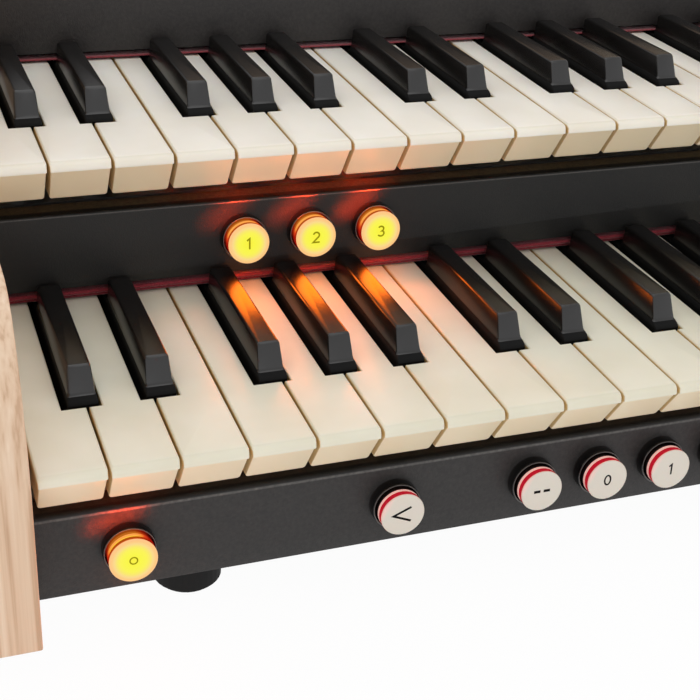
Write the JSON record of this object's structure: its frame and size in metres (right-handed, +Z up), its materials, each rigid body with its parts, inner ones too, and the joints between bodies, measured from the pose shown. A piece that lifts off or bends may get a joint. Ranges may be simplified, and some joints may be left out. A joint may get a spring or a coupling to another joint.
{
  "type": "electronic organ",
  "caption": "Two-manual table-top electronic organ: oak cheeks, ivory naturals, black sharps, round thumb pistons, crimson felts.",
  "frame": {"origin": "on the surface that the feet stand on, under the middle of the case", "axes": "+X to the player's right (towards the high notes), +Y away from the player, +Z up"},
  "size_m": [0.9, 0.48, 0.4711],
  "materials": {
    "oak": "satin lacquered oak",
    "black_steel": "fine-textured black powder coat",
    "ivory": "semi-gloss ivory",
    "black_key": "gloss black",
    "felt": "crimson felt",
    "rubber": "matt black",
    "steel": "zinc plated",
    "circuit": "circuit board",
    "white_cap": "translucent white",
    "screen": "dark screen"
  },
  "bodies": {
    "case": {"left_cheek": "oak", "right_cheek": "oak", "bottom_board": "black_steel", "top_cover": "black_steel", "back_panel": "black_steel", "front_left_foot": "rubber", "front_right_foot": "rubber", "rear_left_foot": "rubber", "rear_right_foot": "rubber", "music_desk": "oak", "lower_slip": "black_steel", "upper_slip": "black_steel", "lower_felt": "felt", "upper_felt": "felt", "control_panel": "black_steel", "display_screen": "screen", "left_speaker": "rubber", "right_speaker": "rubber", "power_inlet": "rubber", "audio_sockets": "rubber", "main_board": "circuit", "power_supply": "steel", "lower_key_frame": "steel", "upper_key_frame": "steel", "lower_pivot_rod": "steel", "upper_pivot_rod": "steel", "lower_contact_board": "circuit", "upper_contact_board": "circuit"},
    "lower_key_c": {"lower_key_c": "ivory"},
    "lower_key_c_sharp": {"lower_key_c_sharp": "black_key"},
    "lower_key_d": {"lower_key_d": "ivory"},
    "lower_key_d_sharp": {"lower_key_d_sharp": "black_key"},
    "lower_key_e": {"lower_key_e": "ivory"},
    "lower_key_f": {"lower_key_f": "ivory"},
    "lower_key_f_sharp": {"lower_key_f_sharp": "black_key"},
    "lower_key_g": {"lower_key_g": "ivory"},
    "lower_key_g_sharp": {"lower_key_g_sharp": "black_key"},
    "lower_key_a": {"lower_key_a": "ivory"},
    "lower_key_a_sharp": {"lower_key_a_sharp": "black_key"},
    "lower_key_b": {"lower_key_b": "ivory"},
    "lower_naturals": {"lower_naturals": "ivory"},
    "lower_sharps": {"lower_sharps": "black_key"},
    "upper_naturals": {"upper_naturals": "ivory"},
    "upper_sharps": {"upper_sharps": "black_key"},
    "lower_piston_set": {"lower_piston_set": "white_cap"},
    "lower_piston_previous": {"lower_piston_previous": "white_cap"},
    "lower_piston_cancel": {"lower_piston_cancel": "white_cap"},
    "lower_piston_0": {"lower_piston_0": "white_cap"},
    "lower_piston_1": {"lower_piston_1": "white_cap"},
    "lower_piston_2": {"lower_piston_2": "white_cap"},
    "lower_piston_3": {"lower_piston_3": "white_cap"},
    "lower_piston_4": {"lower_piston_4": "white_cap"},
    "lower_piston_5": {"lower_piston_5": "white_cap"},
    "lower_piston_next": {"lower_piston_next": "white_cap"},
    "upper_piston_1": {"upper_piston_1": "white_cap"},
    "upper_piston_2": {"upper_piston_2": "white_cap"},
    "upper_piston_3": {"upper_piston_3": "white_cap"},
    "power_switch": {"power_switch": "black_key"},
    "volume_knob": {"volume_knob": "black_key"}
  },
  "joints": [
    {"name": "lower_key_c_hinge", "type": "hinge", "parent": "case", "child": "lower_key_c", "pos_m": [0, -0.029, 0.0665], "axis": [1, 0, 0], "range_deg": [0, 2.2], "stiffness_Nm_per_rad": 1, "springref_deg": -8.59},
    {"name": "lower_key_c_sharp_hinge", "type": "hinge", "parent": "case", "child": "lower_key_c_sharp", "pos_m": [0, -0.029, 0.0665], "axis": [1, 0, 0], "range_deg": [0, 2.2], "stiffness_Nm_per_rad": 1, "springref_deg": -8.59},
    {"name": "lower_key_d_hinge", "type": "hinge", "parent": "case", "child": "lower_key_d", "pos_m": [0, -0.029, 0.0665], "axis": [1, 0, 0], "range_deg": [0, 2.2], "stiffness_Nm_per_rad": 1, "springref_deg": -8.59},
    {"name": "lower_key_d_sharp_hinge", "type": "hinge", "parent": "case", "child": "lower_key_d_sharp", "pos_m": [0, -0.029, 0.0665], "axis": [1, 0, 0], "range_deg": [0, 2.2], "stiffness_Nm_per_rad": 1, "springref_deg": -8.59},
    {"name": "lower_key_e_hinge", "type": "hinge", "parent": "case", "child": "lower_key_e", "pos_m": [0, -0.029, 0.0665], "axis": [1, 0, 0], "range_deg": [0, 2.2], "stiffness_Nm_per_rad": 1, "springref_deg": -8.59},
    {"name": "lower_key_f_hinge", "type": "hinge", "parent": "case", "child": "lower_key_f", "pos_m": [0, -0.029, 0.0665], "axis": [1, 0, 0], "range_deg": [0, 2.2], "stiffness_Nm_per_rad": 1, "springref_deg": -8.59},
    {"name": "lower_key_f_sharp_hinge", "type": "hinge", "parent": "case", "child": "lower_key_f_sharp", "pos_m": [0, -0.029, 0.0665], "axis": [1, 0, 0], "range_deg": [0, 2.2], "stiffness_Nm_per_rad": 1, "springref_deg": -8.59},
    {"name": "lower_key_g_hinge", "type": "hinge", "parent": "case", "child": "lower_key_g", "pos_m": [0, -0.029, 0.0665], "axis": [1, 0, 0], "range_deg": [0, 2.2], "stiffness_Nm_per_rad": 1, "springref_deg": -8.59},
    {"name": "lower_key_g_sharp_hinge", "type": "hinge", "parent": "case", "child": "lower_key_g_sharp", "pos_m": [0, -0.029, 0.0665], "axis": [1, 0, 0], "range_deg": [0, 2.2], "stiffness_Nm_per_rad": 1, "springref_deg": -8.59},
    {"name": "lower_key_a_hinge", "type": "hinge", "parent": "case", "child": "lower_key_a", "pos_m": [0, -0.029, 0.0665], "axis": [1, 0, 0], "range_deg": [0, 2.2], "stiffness_Nm_per_rad": 1, "springref_deg": -8.59},
    {"name": "lower_key_a_sharp_hinge", "type": "hinge", "parent": "case", "child": "lower_key_a_sharp", "pos_m": [0, -0.029, 0.0665], "axis": [1, 0, 0], "range_deg": [0, 2.2], "stiffness_Nm_per_rad": 1, "springref_deg": -8.59},
    {"name": "lower_key_b_hinge", "type": "hinge", "parent": "case", "child": "lower_key_b", "pos_m": [0, -0.029, 0.0665], "axis": [1, 0, 0], "range_deg": [0, 2.2], "stiffness_Nm_per_rad": 1, "springref_deg": -8.59},
    {"name": "lower_naturals_hinge", "type": "hinge", "parent": "case", "child": "lower_naturals", "pos_m": [0, -0.029, 0.0665], "axis": [1, 0, 0], "range_deg": [0, 2.2], "stiffness_Nm_per_rad": 29, "springref_deg": -8.59},
    {"name": "lower_sharps_hinge", "type": "hinge", "parent": "case", "child": "lower_sharps", "pos_m": [0, -0.029, 0.0665], "axis": [1, 0, 0], "range_deg": [0, 2.2], "stiffness_Nm_per_rad": 20, "springref_deg": -8.59},
    {"name": "upper_naturals_hinge", "type": "hinge", "parent": "case", "child": "upper_naturals", "pos_m": [0, 0.077, 0.1305], "axis": [1, 0, 0], "range_deg": [0, 2.2], "stiffness_Nm_per_rad": 36, "springref_deg": -8.59},
    {"name": "upper_sharps_hinge", "type": "hinge", "parent": "case", "child": "upper_sharps", "pos_m": [0, 0.077, 0.1305], "axis": [1, 0, 0], "range_deg": [0, 2.2], "stiffness_Nm_per_rad": 25, "springref_deg": -8.59},
    {"name": "lower_piston_set_travel", "type": "slide", "parent": "case", "child": "lower_piston_set", "axis": [0, 0.9981, -0.061], "range_m": [0, 0.0025], "stiffness_N_per_m": 400, "springref_m": -0.004},
    {"name": "lower_piston_previous_travel", "type": "slide", "parent": "case", "child": "lower_piston_previous", "axis": [0, 0.9981, -0.061], "range_m": [0, 0.0025], "stiffness_N_per_m": 400, "springref_m": -0.004},
    {"name": "lower_piston_cancel_travel", "type": "slide", "parent": "case", "child": "lower_piston_cancel", "axis": [0, 0.9981, -0.061], "range_m": [0, 0.0025], "stiffness_N_per_m": 400, "springref_m": -0.004},
    {"name": "lower_piston_0_travel", "type": "slide", "parent": "case", "child": "lower_piston_0", "axis": [0, 0.9981, -0.061], "range_m": [0, 0.0025], "stiffness_N_per_m": 400, "springref_m": -0.004},
    {"name": "lower_piston_1_travel", "type": "slide", "parent": "case", "child": "lower_piston_1", "axis": [0, 0.9981, -0.061], "range_m": [0, 0.0025], "stiffness_N_per_m": 400, "springref_m": -0.004},
    {"name": "lower_piston_2_travel", "type": "slide", "parent": "case", "child": "lower_piston_2", "axis": [0, 0.9981, -0.061], "range_m": [0, 0.0025], "stiffness_N_per_m": 400, "springref_m": -0.004},
    {"name": "lower_piston_3_travel", "type": "slide", "parent": "case", "child": "lower_piston_3", "axis": [0, 0.9981, -0.061], "range_m": [0, 0.0025], "stiffness_N_per_m": 400, "springref_m": -0.004},
    {"name": "lower_piston_4_travel", "type": "slide", "parent": "case", "child": "lower_piston_4", "axis": [0, 0.9981, -0.061], "range_m": [0, 0.0025], "stiffness_N_per_m": 400, "springref_m": -0.004},
    {"name": "lower_piston_5_travel", "type": "slide", "parent": "case", "child": "lower_piston_5", "axis": [0, 0.9981, -0.061], "range_m": [0, 0.0025], "stiffness_N_per_m": 400, "springref_m": -0.004},
    {"name": "lower_piston_next_travel", "type": "slide", "parent": "case", "child": "lower_piston_next", "axis": [0, 0.9981, -0.061], "range_m": [0, 0.0025], "stiffness_N_per_m": 400, "springref_m": -0.004},
    {"name": "upper_piston_1_travel", "type": "slide", "parent": "case", "child": "upper_piston_1", "axis": [0, 0.9981, -0.061], "range_m": [0, 0.0025], "stiffness_N_per_m": 400, "springref_m": -0.004},
    {"name": "upper_piston_2_travel", "type": "slide", "parent": "case", "child": "upper_piston_2", "axis": [0, 0.9981, -0.061], "range_m": [0, 0.0025], "stiffness_N_per_m": 400, "springref_m": -0.004},
    {"name": "upper_piston_3_travel", "type": "slide", "parent": "case", "child": "upper_piston_3", "axis": [0, 0.9981, -0.061], "range_m": [0, 0.0025], "stiffness_N_per_m": 400, "springref_m": -0.004},
    {"name": "power_switch_rock", "type": "hinge", "parent": "case", "child": "power_switch", "pos_m": [-0.352, 0.232, 0.051], "axis": [1, 0, 0], "range_deg": [0, 9]},
    {"name": "volume_knob_turn", "type": "hinge", "parent": "case", "child": "volume_knob", "pos_m": [0.3, 0.046, 0.2115], "axis": [0, -0.5701, 0.8216], "range_deg": [-270, 0]}
  ]
}
